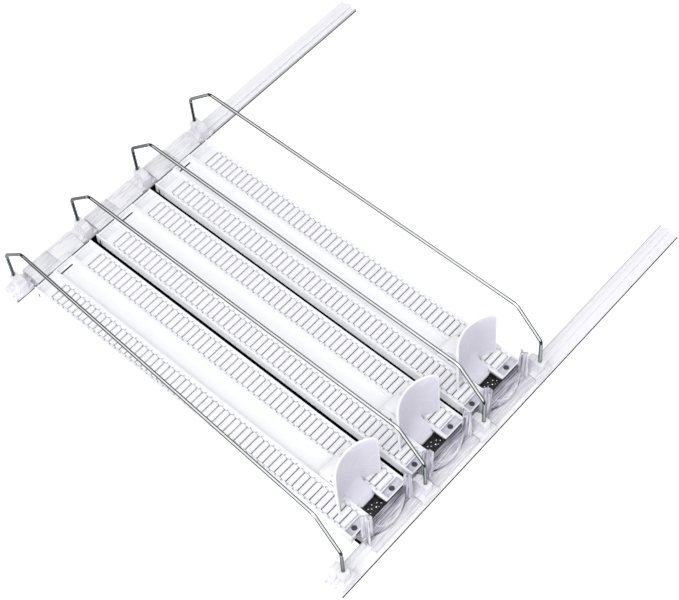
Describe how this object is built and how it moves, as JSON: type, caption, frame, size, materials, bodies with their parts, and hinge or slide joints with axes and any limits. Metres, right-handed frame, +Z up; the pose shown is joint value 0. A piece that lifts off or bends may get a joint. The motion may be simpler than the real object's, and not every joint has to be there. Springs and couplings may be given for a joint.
{
  "type": "sprung can organiser for a refrigerator shelf",
  "caption": "Fridge shelf can organiser with roller lanes, sprung pushers and wire dividers on two clear rails.",
  "frame": {"origin": "on the shelf, below the middle of the whole organiser's box", "axes": "+X along the rails to the right, +Y from the front to the back of the shelf, +Z up"},
  "size_m": [0.445, 0.391, 0.0745],
  "materials": {
    "rail_plastic": "clear extruded plastic, glossy",
    "white_moulding": "white moulded plastic, satin",
    "roller_plastic": "white moulded acetal, smooth",
    "pusher_moulding": "white moulded plastic, semi-gloss",
    "drum_plastic": "white moulded acetal",
    "pin_steel": "plain drawn steel",
    "spring_steel": "rolled spring steel, bright",
    "anchor_steel": "pressed steel",
    "clear_moulding": "clear moulded polycarbonate, glossy",
    "clip_plastic": "frosted clear moulded plastic",
    "wire_steel": "bent steel wire, bright plated"
  },
  "bodies": {
    "base": {"front_rail": "rail_plastic", "back_rail": "rail_plastic", "divider_wire_1": "wire_steel", "front_clip_1": "clip_plastic", "back_clip_1": "clip_plastic", "tray_1": "white_moulding", "rollers_1": "roller_plastic", "strip_anchor_1": "anchor_steel", "spring_strip_1": "spring_steel", "front_stop_1": "clear_moulding", "back_connector_1": "clear_moulding"},
    "lane_2": {"divider_wire_2": "wire_steel", "front_clip_2": "clip_plastic", "back_clip_2": "clip_plastic", "tray_2": "white_moulding", "rollers_2": "roller_plastic", "strip_anchor_2": "anchor_steel", "spring_strip_2": "spring_steel", "front_stop_2": "clear_moulding", "back_connector_2": "clear_moulding"},
    "lane_3": {"divider_wire_3": "wire_steel", "front_clip_3": "clip_plastic", "back_clip_3": "clip_plastic", "tray_3": "white_moulding", "rollers_3": "roller_plastic", "strip_anchor_3": "anchor_steel", "spring_strip_3": "spring_steel", "front_stop_3": "clear_moulding", "back_connector_3": "clear_moulding"},
    "divider_4": {"divider_wire_4": "wire_steel", "front_clip_4": "clip_plastic", "back_clip_4": "clip_plastic"},
    "pusher_1": {"pusher_1": "pusher_moulding", "coil_pin_1": "pin_steel"},
    "coil_1": {"coil_drum_1": "drum_plastic", "spring_coil_1": "spring_steel"},
    "pusher_2": {"pusher_2": "pusher_moulding", "coil_pin_2": "pin_steel"},
    "coil_2": {"coil_drum_2": "drum_plastic", "spring_coil_2": "spring_steel"},
    "pusher_3": {"pusher_3": "pusher_moulding", "coil_pin_3": "pin_steel"},
    "coil_3": {"coil_drum_3": "drum_plastic", "spring_coil_3": "spring_steel"}
  },
  "joints": [
    {"name": "lane_2_slide", "type": "slide", "parent": "base", "child": "lane_2", "axis": [1, 0, 0], "range_m": [0, 0.055]},
    {"name": "lane_3_slide", "type": "slide", "parent": "lane_2", "child": "lane_3", "axis": [1, 0, 0], "range_m": [0, 0.055]},
    {"name": "divider_4_slide", "type": "slide", "parent": "lane_3", "child": "divider_4", "axis": [1, 0, 0], "range_m": [0, 0.055]},
    {"name": "pusher_1_slide", "type": "slide", "parent": "base", "child": "pusher_1", "axis": [0, 1, 0], "range_m": [0, 0.28], "stiffness_N_per_m": 2, "springref_m": -1, "deforming": ["spring_strip_1"]},
    {"name": "coil_1_turn", "type": "hinge", "parent": "pusher_1", "child": "coil_1", "pos_m": [-0.1538, -0.13104, 0.0152], "axis": [1, 0, 0], "range_deg": [-1750, 0]},
    {"name": "pusher_2_slide", "type": "slide", "parent": "lane_2", "child": "pusher_2", "axis": [0, 1, 0], "range_m": [0, 0.28], "stiffness_N_per_m": 2, "springref_m": -1, "deforming": ["spring_strip_2"]},
    {"name": "coil_2_turn", "type": "hinge", "parent": "pusher_2", "child": "coil_2", "pos_m": [-0.0838, -0.13104, 0.0152], "axis": [1, 0, 0], "range_deg": [-1750, 0]},
    {"name": "pusher_3_slide", "type": "slide", "parent": "lane_3", "child": "pusher_3", "axis": [0, 1, 0], "range_m": [0, 0.28], "stiffness_N_per_m": 2, "springref_m": -1, "deforming": ["spring_strip_3"]},
    {"name": "coil_3_turn", "type": "hinge", "parent": "pusher_3", "child": "coil_3", "pos_m": [-0.0138, -0.13104, 0.0152], "axis": [1, 0, 0], "range_deg": [-1750, 0]}
  ],
  "couplings": [
    {"joint": "coil_1_turn", "follows": "pusher_1_slide", "rad_per_m": -108.7},
    {"joint": "coil_2_turn", "follows": "pusher_2_slide", "rad_per_m": -108.7},
    {"joint": "coil_3_turn", "follows": "pusher_3_slide", "rad_per_m": -108.7}
  ]
}
